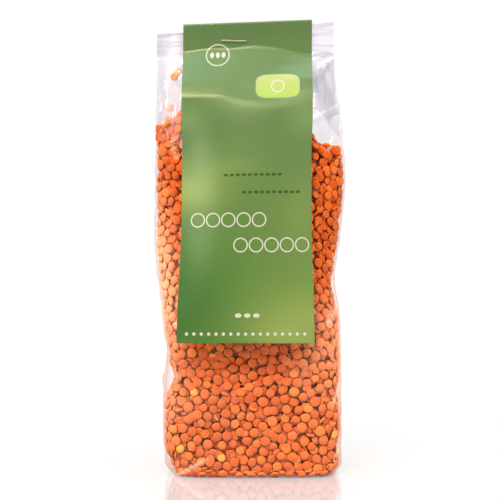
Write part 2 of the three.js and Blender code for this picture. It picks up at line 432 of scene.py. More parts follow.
# %% [markdown]
# The film itself is one closed skin of rings, from the flat bottom to the top of the seal. Its rings lie
# close together at the bottom edge and in the crimped band, where the form turns within a millimetre. It is a
# single surface without thickness, because a real film this thin has no edge that shows.

# %% The film
film_heights = np.concatenate(
    [
        [0, 0.15, 0.4, 0.9, EDGE_ROUND],
        np.arange(2.8, SEAL_LOW, 1.25),
        np.linspace(SEAL_LOW, SEAL_LOW + SEAL_HEIGHT, 44),
    ]
)[:, None]
film_across, film_deep = square_round(84, 40)
film_rings = film_points(film_across, film_deep, film_heights)
film_marks = {
    "haze_and_reflection": haze_and_painted_reflection(film_rings, film_deep),
    "dull_and_shade": dullness_and_painted_shade(film_rings, film_deep),
    "tucked": tuckedness(film_across, film_deep, film_heights),
}
film = add_rings("film", film_rings, **film_marks)

# %% [markdown]
# The lentils fill the bag up to an uneven top, higher on the left. Their outer surface follows the film a
# little inside it, and draws back at a few places along the sides, where the film bulges out clear. This
# surface is a guide for the lentils and isn't shown.

# %% The heap's surface
FILL_AT_X = (-48, -38, -33, -14, 8, 28, 31.5, 36, 40, 48)
FILL_HEIGHT = (167, 172, 176, 177, 172, 166, 163.5, 156, 160, 157)
CLEAR_BULGES = (
    # side, height, half height, and how far the lentils draw back there
    (-1, 46, 6.0, 3.8),
    (1, 88, 7, 1.0),
    (-1, 5, 4, 2.0),
    (1, 12, 5, 1.4),
    (1, 40, 6, 1.2),
)


def heap_rings(inset, foot, along_face=60, along_side=30, levels=90):
    """Rings of the heap's surface, drawn in from the film by inset, or by foot at the bottom."""
    across, deep = square_round(along_face, along_side)
    share = np.concatenate([[0, 0.002], np.linspace(0, 1, levels)[1:]])[:, None]
    x_of = across * half_width(across, 160)
    fill = np.interp(x_of, FILL_AT_X, FILL_HEIGHT) - inset
    z = lerp(foot - 0.3, fill, share)
    points = bag_form(across, deep, z, gusset_depth(z))
    out = outward(across, deep, z)
    draw = lerp(foot, inset, smooth(z, 0, 7)) + hollow(points) * np.abs(out[..., 1])
    for side, height, half, depth in CLEAR_BULGES:
        draw = draw + depth * bump(z, height, half) * smooth(side * across, 0.55, 1)
    points = points - out * draw[..., None]
    rim = points[-1]
    crown = np.array([lerp(rim, rim.mean(0), k) for k in (0.12, 0.25, 0.4, 0.55, 0.7, 0.85, 0.96)])
    x, y, _ = np.moveaxis(crown, -1, 0)
    crown[..., 2] = np.interp(x, FILL_AT_X, FILL_HEIGHT) - inset + 1.2 * np.sin(x / 6) * np.cos(y / 4)
    return np.concatenate([points, crown])


heap = add_rings("heap", heap_rings(0.45, 0.45))
heap.data.shade_flat()

# %% [markdown]
# A red lentil is a small lens without its skin. Some are whole, and many have split into halves, flat on one
# side. Both are turned profiles with few sides, since there are thousands of them, with a rounded rim that
# catches the light.

# %% One whole lentil and one half
LENTIL_RADIUS = 2.5


def turned(name, profile, sides):
    """A closed lentil from radii and heights between its two poles, marked 1 at its rim."""
    turn = 2 * np.pi * np.arange(sides) / sides
    rings = [[(r * np.cos(a), r * np.sin(a), h) for a in turn] for r, h in profile[1:-1]]
    points = np.concatenate([np.reshape(rings, (-1, 3)), [(0, 0, profile[0][1]), (0, 0, profile[-1][1])]])
    faces = ring_faces(len(rings), sides)
    if signed_volume(points, faces) < 0:
        faces = [f[::-1] for f in faces]
    return add_mesh(name, points, faces, rim=smooth(np.hypot(points[:, 0], points[:, 1]), 1.9, 2.4))


WHOLE_HALF_THICK, SPLIT_HALF_THICK = 1.05, 0.7
WHOLE = ((0, 1.05), (1.7, 0.86), (2.46, 0.3), (2.46, -0.3), (1.7, -0.86), (0, -1.05))
SPLIT = ((0, 0.46), (1.95, 0.6), (2.4, 0.36), (2.42, -0.08), (1.5, -0.62), (0, -0.7))
whole_lentil = turned("whole_lentil", WHOLE, 12)
split_lentil = turned("split_lentil", SPLIT, 12)
plain_lentil = turned("plain_lentil", SPLIT, 8)

# %% [markdown]
# Geometry Nodes place the lentils. Points are strewn over the heap's surface no nearer than a lentil's width,
# each gets a lentil that lies flat against the film or leans by a random angle, and it sinks in as far as its
# lean makes it stand out. Whole and split lentils share one set of points, each kind taking its own share of
# it, so that they never sit in the same spot. The same tree lays a second and a third layer deeper in.

# %% Helpers for node trees


def enabled(sockets, name):
    """The socket of this name that the node's settings leave in use."""
    return next(s for s in sockets if s.name == name and s.enabled)


def feed(tree, node, inputs):
    """Sets inputs of a node, each to a plain value or to another node's output."""
    for name, value in inputs.items():
        socket = node.inputs[name] if isinstance(name, int) else enabled(node.inputs, name)
        if isinstance(value, bpy.types.NodeSocket):
            tree.links.new(value, socket)
        else:
            socket.default_value = value


def add_node(tree, kind, inputs=None, **settings):
    node = tree.nodes.new(kind)
    for key, value in settings.items():
        setattr(node, key, value)
    feed(tree, node, inputs or {})
    return node


# %% The tree that lays lentils against a surface
LAYER_INPUTS = {
    "Surface": "Geometry",
    "Lentil": "Object",
    "Spacing": "Float",
    "Depth": "Float",
    "Half Thick": "Float",
    "Lean": "Float",
    "On Edge": "Float",
    "From Share": "Float",
    "To Share": "Float",
    "Seed": "Int",
    "Material": "Material",
}
MOST_PER_SQUARE_METRE = 500000.0
EDGE_LEAN = (0.9, 1.5)
TURNED_OVER = 0.45
SMALLEST, SIZE_RANGE = 0.77, 0.22


def lentil_layer_tree():
    """The tree: points, a pose and a size for each, and a lentil on each."""
    tree = bpy.data.node_groups.new("lentil_layer", "GeometryNodeTree")
    for name, kind in LAYER_INPUTS.items():
        tree.interface.new_socket(name=name, in_out="INPUT", socket_type="NodeSocket" + kind)
    tree.interface.new_socket(name="Lentils", in_out="OUTPUT", socket_type="NodeSocketGeometry")
    given = tree.nodes.new("NodeGroupInput").outputs

    def chance(low, high, salt):
        """A random number for each lentil, of its own for each salt."""
        seed = add_node(tree, "ShaderNodeMath", {0: given["Seed"], 1: float(salt)}, operation="ADD")
        dice = add_node(tree, "FunctionNodeRandomValue", {"Min": low, "Max": high, "Seed": seed.outputs[0]})
        return enabled(dice.outputs, "Value")

    def math(operation, a, b=0.0, c=0.0):
        return add_node(tree, "ShaderNodeMath", {0: a, 1: b, 2: c}, operation=operation).outputs[0]

    strewing = {"Mesh": given["Surface"], "Distance Min": given["Spacing"], "Seed": given["Seed"]}
    strewn = add_node(
        tree,
        "GeometryNodeDistributePointsOnFaces",
        {**strewing, "Density Max": MOST_PER_SQUARE_METRE},
        distribute_method="POISSON",
    )
    lot = chance(0.0, 1.0, 1)
    past_first = math("GREATER_THAN", lot, given["From Share"])
    chosen = math("MULTIPLY", past_first, math("LESS_THAN", lot, given["To Share"]))
    lying = math("MULTIPLY", math("POWER", chance(0.0, 1.0, 2), 1.6), given["Lean"])
    standing = math("LESS_THAN", chance(0.0, 1.0, 3), given["On Edge"])
    angle = math("MULTIPLY_ADD", math("SUBTRACT", chance(*EDGE_LEAN, 4), lying), standing, lying)
    side = math("MULTIPLY", math("LESS_THAN", chance(0.0, 1.0, 5), TURNED_OVER), float(np.pi))
    pitch = math("ADD", angle, side)
    reach = math("SUBTRACT", LENTIL_RADIUS * MM, given["Half Thick"])
    sink = math("MULTIPLY_ADD", math("SINE", angle), reach, given["Half Thick"])
    sink = math("ADD", sink, math("MULTIPLY", given["Depth"], chance(0.6, 1.4, 11)))
    inwards = {0: strewn.outputs["Normal"], "Scale": math("MULTIPLY", sink, -1.0)}
    drop = add_node(tree, "ShaderNodeVectorMath", inwards, operation="SCALE")
    moving = {"Geometry": strewn.outputs["Points"], "Offset": drop.outputs[0]}
    placed = add_node(tree, "GeometryNodeSetPosition", moving)
    euler = add_node(tree, "ShaderNodeCombineXYZ", {"X": pitch, "Y": 0.0, "Z": chance(0.0, 6.283, 6)})
    turn = add_node(tree, "FunctionNodeEulerToRotation", {"Euler": euler.outputs[0]})
    rotation = add_node(
        tree,
        "FunctionNodeRotateRotation",
        {"Rotation": strewn.outputs["Rotation"], "Rotate By": turn.outputs[0]},
        rotation_space="LOCAL",
    )
    size = math("MULTIPLY_ADD", math("POWER", chance(0.0, 1.0, 7), 0.8), SIZE_RANGE, SMALLEST)
    oval = math("MULTIPLY", size, chance(0.88, 1.04, 8))
    scale = add_node(tree, "ShaderNodeCombineXYZ", {"X": size, "Y": oval, "Z": chance(0.8, 1.15, 9)})
    seed_shape = add_node(tree, "GeometryNodeObjectInfo", {"Object": given["Lentil"]})
    laid = add_node(
        tree,
        "GeometryNodeInstanceOnPoints",
        {
            "Points": placed.outputs["Geometry"],
            "Selection": chosen,
            "Instance": seed_shape.outputs["Geometry"],
            "Rotation": rotation.outputs[0],
            "Scale": scale.outputs[0],
        },
    )
    toned = add_node(
        tree,
        "GeometryNodeStoreNamedAttribute",
        {"Geometry": laid.outputs[0], "Name": "tone", "Value": chance(0.0, 1.0, 10)},
        data_type="FLOAT",
        domain="INSTANCE",
    )
    real = add_node(tree, "GeometryNodeRealizeInstances", {"Geometry": toned.outputs[0]})
    coating = {"Geometry": real.outputs[0], "Material": given["Material"]}
    coated = add_node(tree, "GeometryNodeSetMaterial", coating)
    add_node(tree, "NodeGroupOutput", {"Lentils": coated.outputs[0]})
    return tree


layer_tree = lentil_layer_tree()
print("lentil_layer tree:", len(layer_tree.nodes), "nodes")

# %% [markdown]
# Finishes are written with a few helpers. Colours are given as a screen shows them, and each finish starts
# from the Principled shader.

# %% Helpers for finishes


def linear(red, green, blue):
    """A colour given in screen values from 0 to 255."""
    c = np.array([red, green, blue]) / 255
    return (*np.where(c <= 0.04045, c / 12.92, ((c + 0.055) / 1.055) ** 2.4).tolist(), 1.0)


def new_material(name):
    """A new material, its node tree, and the Principled shader that it starts with."""
    print("finish:", name)
    material = bpy.data.materials.new(name)
    material.use_nodes = True
    shader = material.node_tree.nodes["Principled BSDF"]
    return material, material.node_tree, shader


def ramp(tree, factor, *stops):
    """A colour that runs through the given stops."""
    node = add_node(tree, "ShaderNodeValToRGB", {"Fac": factor})
    elements = node.color_ramp.elements
    while len(elements) < len(stops):
        elements.new(0.5)
    for element, (place, colour) in zip(elements, stops):
        element.position, element.color = place, colour
    return node.outputs["Color"]


def noise(tree, scale, detail=2.0):
    """A cloudy number from 0 to 1."""
    place = add_node(tree, "ShaderNodeTexCoord").outputs["Object"]
    cloud = add_node(tree, "ShaderNodeTexNoise", {"Vector": place, "Scale": scale, "Detail": detail})
    return cloud.outputs["Fac"]


def carried(tree, name):
    """A number that each point of the mesh carries."""
    return add_node(tree, "ShaderNodeAttribute", attribute_name=name).outputs["Fac"]


def rising(tree, value, low, high):
    """0 up to low, 1 from high, and straight between."""
    stretch = {"Value": value, "From Min": low, "From Max": high}
    return add_node(tree, "ShaderNodeMapRange", stretch).outputs[0]


def mix(tree, factor, a, b, blend="MIX"):
    """Mixes two colours, which are the sockets 6 and 7 of the node."""
    node = add_node(tree, "ShaderNodeMix", {0: factor, 6: a, 7: b}, data_type="RGBA", blend_type=blend)
    return node.outputs[2]


def bumped(tree, shader, height, strength, distance):
    """Roughens a shader's surface by a height."""
    relief = add_node(tree, "ShaderNodeBump", {"Height": height, "Strength": strength, "Distance": distance})
    tree.links.new(relief.outputs["Normal"], shader.inputs["Normal"])


# %% [markdown]
# Some finishes need sums of several numbers, and a row of math nodes is hard to read. A small class wraps a
# node's output, so that it can be added, multiplied and compared like a plain number.

# %% Numbers that flow through nodes


class Wire:
    """A number that flows through a material's nodes."""

    def __init__(self, tree, socket):
        self.tree, self.socket = tree, socket

    def do(self, operation, *others):
        values = [w.socket if isinstance(w, Wire) else float(w) for w in (self, *others)]
        node = add_node(self.tree, "ShaderNodeMath", dict(enumerate(values)), operation=operation)
        return Wire(self.tree, node.outputs[0])

    def __add__(self, other):
        return self.do("ADD", other)

    def __sub__(self, other):
        return self.do("SUBTRACT", other)

    def __mul__(self, other):
        return self.do("MULTIPLY", other)

    def __truediv__(self, other):
        return self.do("DIVIDE", other)

    def __pow__(self, other):
        return self.do("POWER", other)

    def __abs__(self):
        return self.do("ABSOLUTE")

    def inside(self, limit, soft=0.12):
        """1 where the number is under limit, with a narrow soft edge."""
        fall = {"From Min": limit - soft / 2, "From Max": limit + soft / 2, "To Min": 1.0, "To Max": 0.0}
        node = add_node(self.tree, "ShaderNodeMapRange", {"Value": self.socket, **fall})
        return Wire(self.tree, node.outputs[0])


# %% [markdown]
# A lentil's flesh is matt and a little waxy. One number per lentil picks its colour: nearly all are a shade of
# orange, from red to yellow, and the palest stop is for those caught in the neck. Rims are paler, a painted
# highlight, and lentils where strong light grazes the bag are painted paler too. Where two lentils touch, an
# occlusion node darkens the flesh: painted shade. A fine mottle keeps a single lentil from being flat, and a
# low bump roughens it.

# %% Lentil flesh
LENTIL_TONES = (
    (0.0, linear(244, 172, 58)),
    (0.004, linear(244, 172, 58)),
    (0.006, linear(191, 65, 15)),
    (0.25, linear(203, 78, 21)),
    (0.7, linear(215, 92, 28)),
    (0.9995, linear(229, 117, 42)),
    (1.0, linear(250, 214, 200)),
)
CONTACT_SHADE_REACH = 1.1


def lentil_flesh():
    material, tree, shader = new_material("lentil_flesh")
    colour = ramp(tree, carried(tree, "tone"), *LENTIL_TONES)
    # Paler rims: a painted highlight where the rounded rim would catch the light.
    colour = mix(tree, carried(tree, "rim"), colour, mix(tree, 0.3, colour, linear(255, 172, 84)))
    colour = mix(tree, noise(tree, 900.0), colour, mix(tree, 0.2, colour, linear(246, 140, 50)))
    # Painted light: lentils marked where strong light grazes the bag are mixed towards peach.
    colour = mix(tree, carried(tree, "pale"), colour, linear(254, 181, 130))
    # Painted shade: where lentils touch, an occlusion node darkens the flesh.
    shade = mix(tree, 1.0, colour, linear(158, 84, 58), "MULTIPLY")
    open_sky = add_node(tree, "ShaderNodeAmbientOcclusion", {"Distance": CONTACT_SHADE_REACH * MM}, samples=6)
    colour = mix(tree, open_sky.outputs["AO"], shade, colour)
    waxy = {"Roughness": 0.5, "Specular IOR Level": 0.16, "Specular Tint": (1, 0.62, 0.4, 1)}
    feed(tree, shader, {"Base Color": colour, **waxy})
    bumped(tree, shader, noise(tree, 1600.0, 3.0), 0.25, 0.0003)
    return material


flesh = lentil_flesh()

# %% [markdown]
# Each layer is one kind of lentil, laid by the tree and then turned into a plain mesh. Two things follow from
# where a lentil ends up. One that would poke through the film is pressed flat against it, and one that lies
# where strong light grazes the bag is marked for painted light, which makes it paler.

# %% Laying the lentils


def kept_in(points):
    """Lentils that reach past the bag's faces, bottom or rounded lower edges are pressed flat there."""
    z = np.maximum(points[:, 2], 0.1)
    deep = HALF_DEPTH - 0.2 - edge_inset(z)
    wide = half_width(points[:, 0], z) - 0.2
    x, y = np.clip(points[:, 0], -wide, wide), np.clip(points[:, 1], -deep, deep)
    return np.stack([x, y, z], -1).astype(np.float32)


def painted_paleness(points):
    """How much painted light makes the lentils paler at each place: most near the left edge, least high up."""
    x, _, z = points.T
    edge = smooth(-x, lerp(24, 33, smooth(z, 75, 120)), lerp(42, 45, smooth(z, 75, 120)))
    left = edge * (0.95 * bump(z, 94, 36) + 0.2 * bump(z, 36, 20))
    right = 0.38 * smooth(x, 14, 36) * bump(z, 64, 20)
    low = 0.12 * smooth(z, 60, 40)
    return (left + right + low).astype(np.float32)


def layer_mesh(values):
    """The lentils that the tree lays over the heap with these inputs, as a plain mesh."""
    guide = heap.copy()
    guide.data = heap.data.copy()
    bpy.context.scene.collection.objects.link(guide)
    layer = guide.modifiers.new("lentils", "NODES")
    layer.node_group = layer_tree
    for item in layer_tree.interface.items_tree:
        if item.name in values:
            layer[item.identifier] = values[item.name]
    bpy.context.view_layer.update()
    graph = bpy.context.evaluated_depsgraph_get()
    mesh = bpy.data.meshes.new_from_object(guide.evaluated_get(graph))
    bpy.data.objects.remove(guide)
    return mesh


def lay_lentils(name, kind, half_thick, spacing, depth, lean, on_edge, share, seed):
    """One kind of lentil over the heap's surface, kept inside the film."""
    lengths = {"Half Thick": half_thick * MM, "Spacing": spacing * MM, "Depth": depth * MM}
    chances = {"Lean": lean, "On Edge": on_edge, "From Share": share[0], "To Share": share[1], "Seed": seed}
    mesh = layer_mesh({"Lentil": kind, "Material": flesh, **lengths, **chances})
    mesh.name = name
    points = np.empty(len(mesh.vertices) * 3, np.float32)
    mesh.vertices.foreach_get("co", points)
    points = kept_in(points.reshape(-1, 3) / MM)
    mesh.vertices.foreach_set("co", points.ravel() * MM)
    mesh.attributes.new("pale", "FLOAT", "POINT").data.foreach_set("value", painted_paleness(points))
    triangles = sum(len(p.vertices) - 2 for p in mesh.polygons)
    print(f"{name}: {len(mesh.polygons) // len(kind.data.polygons)} lentils, {triangles} triangles")
    return in_scene(name, mesh)


# %% [markdown]
# Whole and split lentils together make the layer against the film. Two more layers of split ones lie behind
# it and show through its gaps, the last of them with fewer sides.

# %% The four layers
ALL = (-1.0, 2.0)
LAYERS = (
    # name, lentil, half thickness, spacing, depth, lean, how many on edge, share of the points, seed
    ("lentils_whole", whole_lentil, WHOLE_HALF_THICK, 4.2, 0.3, 0.4, 0.03, (0.0, 0.4), 11),
    ("lentils_split", split_lentil, SPLIT_HALF_THICK, 4.2, 0.5, 0.5, 0.06, (0.4, 1.0), 11),
    ("lentils_second", split_lentil, SPLIT_HALF_THICK, 4.0, 1.5, 0.5, 0.05, ALL, 12),
    ("lentils_third", plain_lentil, SPLIT_HALF_THICK, 3.8, 2.6, 0.8, 0.1, ALL, 13),
)
lentil_layers = [lay_lentils(*row) for row in LAYERS]

# %% [markdown]
# Deeper in, nothing shows but dark gaps. A plain dark form stands for all the lentils there, so that the bag
# doesn't look hollow between the laid ones; its dark orange is painted shade.

# %% The dark heart of the heap


def painted_shade_between_lentils():
    material, tree, shader = new_material("painted_shade_between_lentils")
    # Painted shade: a darker orange than the lentils' flesh.
    colour = mix(tree, noise(tree, 300.0), linear(140, 44, 18), linear(190, 70, 28))
    feed(tree, shader, {"Base Color": colour, "Roughness": 0.8})
    return material


lentil_heart = add_rings("lentil_heart", heap_rings(5.6, 1.2, 40, 20, 50))
lentil_heart.data.materials.append(painted_shade_between_lentils())

# %% [markdown]
# A few lentils stay up in the empty neck, caught between the front and the folded gusset. They are copies of
# the split lentil, put where they show through the film at the left of the card.

# %% Lentils caught in the neck
CAUGHT = (
    # x, y, height, lean, tone
    (-37.0, -1.5, 192.8, 0.2, 0.005),
    (-35.4, -0.6, 195.4, 0.5, 1.0),
    (-39.6, -1.6, 177.8, 0.3, 1.0),
    (-40.8, -0.4, 171.6, 0.6, 1.0),
    (-38.2, -1.0, 169.8, 0.4, 1.0),
    (-33.0, -4.0, 174.2, 0.3, 0.3),
    (-34.0, -4.4, 169.2, 0.5, 0.5),
    (-37.2, -4.2, 166.6, 0.3, 0.4),
)


def copies(name, source, places):
    """Joined copies of a lentil, each leaning about its own axis."""
    base = np.array([v.co for v in source.data.vertices]) / MM
    faces = [list(p.vertices) for p in source.data.polygons]
    rims = smooth(np.hypot(base[:, 0], base[:, 1]), 1.9, 2.4)
    upright = base[:, [0, 2, 1]] * [1, -1, 1]
    points, all_faces, tones = [], [], []
    for n, (x, y, z, lean, tone) in enumerate(places):
        c, s = np.cos(lean), np.sin(lean)
        turned_points = upright @ np.array([[c, s, 0], [-s, c, 0], [0, 0, 1]])
        points.append(turned_points * (0.82 + 0.04 * (n % 4)) + (x, y, z))
        all_faces += [[i + n * len(base) for i in f] for f in faces]
        tones += [tone] * len(base)
    print(f"{name}: {len(places)} lentils")
    return add_mesh(name, np.concatenate(points), all_faces, tone=tones, rim=np.tile(rims, len(places)))


lentils_caught = copies("lentils_caught", split_lentil, CAUGHT)
lentils_caught.data.materials.append(flesh)
for spent in (heap, whole_lentil, split_lentil, plain_lentil):
    bpy.data.objects.remove(spent)

# %% [markdown]
# Clear film shows itself by what it reflects: little face on, much at a glancing angle, and the same from
# inside as from outside, since it is thin. Its shader therefore mixes see-through with a mirror by the slant
# alone, and adds the number of haze and painted reflection as thin white. Over the lentils both are warmer,
# because the light there has bounced off them. The number of dullness and painted shade darkens what shows
# through. A bump the size of the lentils under it breaks the glints up. A film this thin throws no shadow
# worth having, so it is set to cast none.

# %% Clear film
FILM_TINTS = (
    (0.0, (0.975, 0.967, 0.99, 1)),
    (0.5, (0.945, 0.93, 0.97, 1)),
    (0.85, (0.92, 0.905, 0.945, 1)),
    (1.0, (0.86, 0.84, 0.88, 1)),
)
NECK_FROM, NECK_FULL = 155, 172
FACE_ON, AT_A_GLANCE = 0.042, 0.9


def mix_surfaces(tree, share, first, second):
    return add_node(tree, "ShaderNodeMixShader", {0: share, 1: first.outputs[0], 2: second.outputs[0]})


def clear_film():
    material, tree, shader = new_material("clear_film")
    tree.nodes.remove(shader)
    place = add_node(tree, "ShaderNodeTexCoord").outputs["Object"]
    dents = add_node(tree, "ShaderNodeTexVoronoi", {"Vector": place, "Scale": 240.0}).outputs["Distance"]
    height = Wire(tree, dents) * 0.5 + Wire(tree, noise(tree, 90.0, 3.0))
    relief = add_node(tree, "ShaderNodeBump", {"Height": height.socket, "Strength": 0.5, "Distance": 0.0008})
    bumps = {"Normal": relief.outputs[0]}
    slant = add_node(tree, "ShaderNodeLayerWeight", {"Blend": 0.5, **bumps}).outputs["Facing"]
    # Darkened by place: crumpled film, and painted shade in folds, beside the card and along the foot.
    tint = mix(tree, carried(tree, "dull_and_shade"), ramp(tree, slant, *FILM_TINTS), (0, 0, 0, 1))
    up = add_node(tree, "ShaderNodeSeparateXYZ", {0: place}).outputs["Z"]
    neck = rising(tree, up, NECK_FROM * MM, NECK_FULL * MM)
    shine = mix(tree, neck, (1.0, 0.74, 0.52, 1), (1, 1, 1, 1))
    haze = mix(tree, neck, (1.0, 0.88, 0.68, 1), (0.96, 0.94, 0.96, 1))
    through = add_node(tree, "ShaderNodeBsdfTransparent", {"Color": tint})
    mirror = add_node(tree, "ShaderNodeBsdfAnisotropic", {"Color": shine, "Roughness": 0.09, **bumps})
    white = add_node(tree, "ShaderNodeBsdfDiffuse", {"Color": haze})
    glow = add_node(tree, "ShaderNodeBsdfTranslucent", {"Color": haze})
    glance = Wire(tree, slant) ** 5.0 * AT_A_GLANCE + FACE_ON
    open_air = Wire(tree, carried(tree, "tucked")) * -0.75 + 1.0
    glossy = mix_surfaces(tree, (glance * open_air).socket, through, mirror)
    veil = mix_surfaces(tree, 0.5, white, glow)
    # Thin white by place: haze, painted reflection and painted highlights.
    whole = mix_surfaces(tree, carried(tree, "haze_and_reflection"), glossy, veil)
    feed(tree, tree.nodes["Material Output"], {"Surface": whole.outputs[0]})
    return material


film.data.materials.append(clear_film())
film.visible_shadow = False

# %% [markdown]
# The card hangs over the top like a long saddle. It drops plumb where the staple holds it, kinks just under
# the seal, and leans out fast to a soft bend over the bag's shoulder. Below that it hangs steeper, curled
# back at its sides over the crowned front. A few tenths of a millimetre in these bends decide where a
# lacquered card catches a lamp, so its line is written as slopes and added up.

# %% The card's line and bends
CARD_WIDTH, CARD_THICK = 63.5, 0.5
CARD_MIDDLE, CARD_DRIFT = -1.8, 0.9
CARD_LOW, CARD_FOLD, CARD_OUT = 64.5, 218.3, 1.5
CARD_BOW, CARD_STEP = 6, 0.1
CARD_LEAN = np.tan(np.radians(2.2))
HANG_HEIGHTS = (64, 90, 111, 121, 125, 136, 160, 176, 183)
HANG_SLOPES = (0.222, 0.215, 0.203, 0.19, 0.15, 0.155, 0.215, 0.245, 0.26)


def curve_through(points, at):
    """A smooth curve through points, as Catmull and Rom draw it, read at given first coordinates."""
    knots, values = np.array(points, float).T
    slopes = np.gradient(values, knots)
    i = np.clip(np.searchsorted(knots, at) - 1, 0, len(knots) - 2)
    span = knots[i + 1] - knots[i]
    t = (at - knots[i]) / span
    a = (1 + 2 * t) * (1 - t) ** 2 * values[i] + t**2 * (3 - 2 * t) * values[i + 1]
    return a + span * (t * (1 - t) ** 2 * slopes[i] - t**2 * (1 - t) * slopes[i + 1])


SHOULDER_OUT = 12.9
SLOPE_ABOVE, SLOPE_AT_SHOULDER = 0.478, 0.402
KINK_AT_X = ((-33, 206.0), (-22, 207.3), (-9, 207.0), (-1, 207.9), (28, 202.7), (34, 201.8))


def card_slope(x, z):
    """How fast the card moves outwards on its way down: not at all, fast below the kink, then slower."""
    kink = curve_through(KINK_AT_X, x)
    right = smooth(x, -12, 24)
    past_step = smooth(x, -16, -6)
    shoulder = lerp(182.0, 178.9 - 0.145 * (x + 9), past_step)
    loose = lerp(0.9, 2.3, past_step)
    slope = np.interp(z, HANG_HEIGHTS, HANG_SLOPES) + 0.035 * right * smooth(z, 140, 160)
    over = z - shoulder
    turn = 0.5 * smooth(over, -loose, 0) + 0.5 * smooth(over, 0.2, 0.2 + loose)
    slope = lerp(slope, SLOPE_AT_SHOULDER, turn)
    slope = lerp(slope, SLOPE_ABOVE, smooth(z, 188.6, 190.6))
    slope = slope - 0.07 * right * smooth(z, 196, 198.5)
    return slope * np.interp(kink - z, (-0.5, -0.2, 1.0, 1.6), (0, 0.66, 0.70, 1))


def card_out(x, z):
    """How far out of the seal's middle the card lies, for each place across (a row) and height (a column)."""
    ladder = np.arange(CARD_FOLD, CARD_LOW - 1, -CARD_STEP)[:, None]
    slope = card_slope(x, ladder)
    high = ladder[:, 0] > 190
    middle = (ladder[:, 0] > 174) & ~high
    slope[high] *= (SHOULDER_OUT - slope[middle].sum(0) * CARD_STEP) / (slope[high].sum(0) * CARD_STEP)
    out = CARD_OUT + np.cumsum(slope, 0) * CARD_STEP
    return np.stack([np.interp(z[:, 0], ladder[::-1, 0], column[::-1]) for column in out.T], 1)


def card_middle(u, z, side):
    """Points of the card's middle surface on the front (side -1) or the back (side 1)."""
    up = (z - CARD_LOW) / (CARD_FOLD - CARD_LOW)
    bow = CARD_BOW * (smooth(z, 60, 115) - smooth(z, 150, 186))
    share = u / (CARD_WIDTH / 2)
    half = CARD_WIDTH / 2 - 4 * bow**2 / (3 * CARD_WIDTH)
    out = card_out(CARD_MIDDLE + u, z)
    x = CARD_MIDDLE + CARD_DRIFT * up + share * half
    loose = smooth(z, 120, 70)
    wave = 0.35 * loose * np.sin(share * 2.4 + z / 31)
    y = side * (out - bow * share**2 + wave)
    return np.stack([x, y, z + CARD_LEAN * x * smooth(up, 0, 1)], -1)


# %% [markdown]
# The card is one closed sheet half a millimetre thick. Its points run up the front panel, round the fold and
# down the back panel, and it gets its thickness along its own normals.

# %% The card
FOLD_ROUNDING = 0.45
panel_heights = np.concatenate([np.arange(CARD_LOW, 174, 1.6), np.arange(174, 212, 0.45), [213, 215, 217]])
card_u = np.linspace(-CARD_WIDTH / 2, CARD_WIDTH / 2, 45)[None, :]
front_panel = card_middle(card_u, panel_heights[:, None], -1)
fold_turn = np.pi * (1 - np.linspace(0.04, 0.96, 13))[:, None]
fold_points = card_middle(card_u, CARD_FOLD + 0 * fold_turn, 0)
fold_points[..., 1] += CARD_OUT * np.sign(np.cos(fold_turn)) * np.abs(np.cos(fold_turn)) ** FOLD_ROUNDING
fold_points[..., 2] += CARD_OUT * np.sin(fold_turn) ** FOLD_ROUNDING
back_panel = card_middle(card_u, panel_heights[::-1, None], 1)
card_grid = np.concatenate([front_panel, fold_points, back_panel])
along = np.gradient(card_grid, axis=0)
aside = np.gradient(card_grid, axis=1)
card_normal = np.cross(aside, along)
card_normal /= np.linalg.norm(card_normal, axis=-1, keepdims=True)
outer, inner = (card_grid + s * card_normal * CARD_THICK / 2 for s in (1, -1))
card_rings = np.concatenate([outer, inner[:, ::-1]], 1)
flat_length = np.linalg.norm(np.diff(card_grid[:, card_u.size // 2], axis=0), axis=1).sum()
print("card:", CARD_WIDTH, "mm wide and", round(flat_length, 1), "mm long when flat")

# %% [markdown]
# The sheet's two ends are long narrow slots of a ring, so each is closed with a strip of quads between the
# outer and the inner face, not with a fan. Every point also carries its place on the flat card, which the
# print reads.

# %% Closing the card


def strip_closed(name, rings, **attributes):
    """A closed sheet from flattened rings, whose ends are closed by strips."""
    levels, count, _ = rings.shape
    faces = [f for f in ring_faces(levels, count) if len(f) == 4]
    for base, flip in ((0, False), ((levels - 1) * count, True)):
        for k in range(count // 2 - 1):
            quad = [base + k, base + k + 1, base + count - 2 - k, base + count - 1 - k]
            faces.append(quad if flip else quad[::-1])
    points = rings.reshape(-1, 3)
    if signed_volume(points, faces) < 0:
        faces = [f[::-1] for f in faces]
    flat = {key: v.reshape(levels * count, -1) for key, v in attributes.items()}
    return add_mesh(name, points, faces, **flat)


flat_height = np.concatenate([panel_heights, CARD_FOLD + 0 * fold_turn[:, 0], panel_heights[::-1]])
flat_side = np.concatenate([-1 + 0 * panel_heights, np.cos(fold_turn[:, 0]), 1 + 0 * panel_heights])
flat_u = np.concatenate([card_u[0], card_u[0, ::-1]])
flat = np.zeros(card_rings.shape)
flat[..., 0] = flat_u[None, :]
flat[..., 1] = flat_height[:, None]
flat[..., 2] = flat_side[:, None]
card = strip_closed("card_label", card_rings, flat=flat)
card.data.set_sharp_from_angle(angle=np.radians(50))
print("card_label:", len(card.data.polygons), "faces")

# %% [markdown]
# The print is written as formulas of the place on the flat card, so that its edges stay sharp at any size. It
# is plain: rings, seeds and dots, and one lime field, with no lettering. On the front the green drifts softly
# between lighter and darker spots, which are painted sheen and painted shade; the back is one plain green.

# %% Marks of the print


def distance(u, v, wide=1.0, high=1.0):
    return ((u / wide) ** 2 + (v / high) ** 2).do("SQRT")


def row(u, v, start, pitch, count, height):
    """Place within a row of equal cells, and 1 inside the row."""
    cell = (u - start).do("WRAP", pitch, 0.0) - pitch / 2
    within = abs(u - (start + pitch * count / 2)).inside(pitch * count / 2)
    return cell, v - height, within


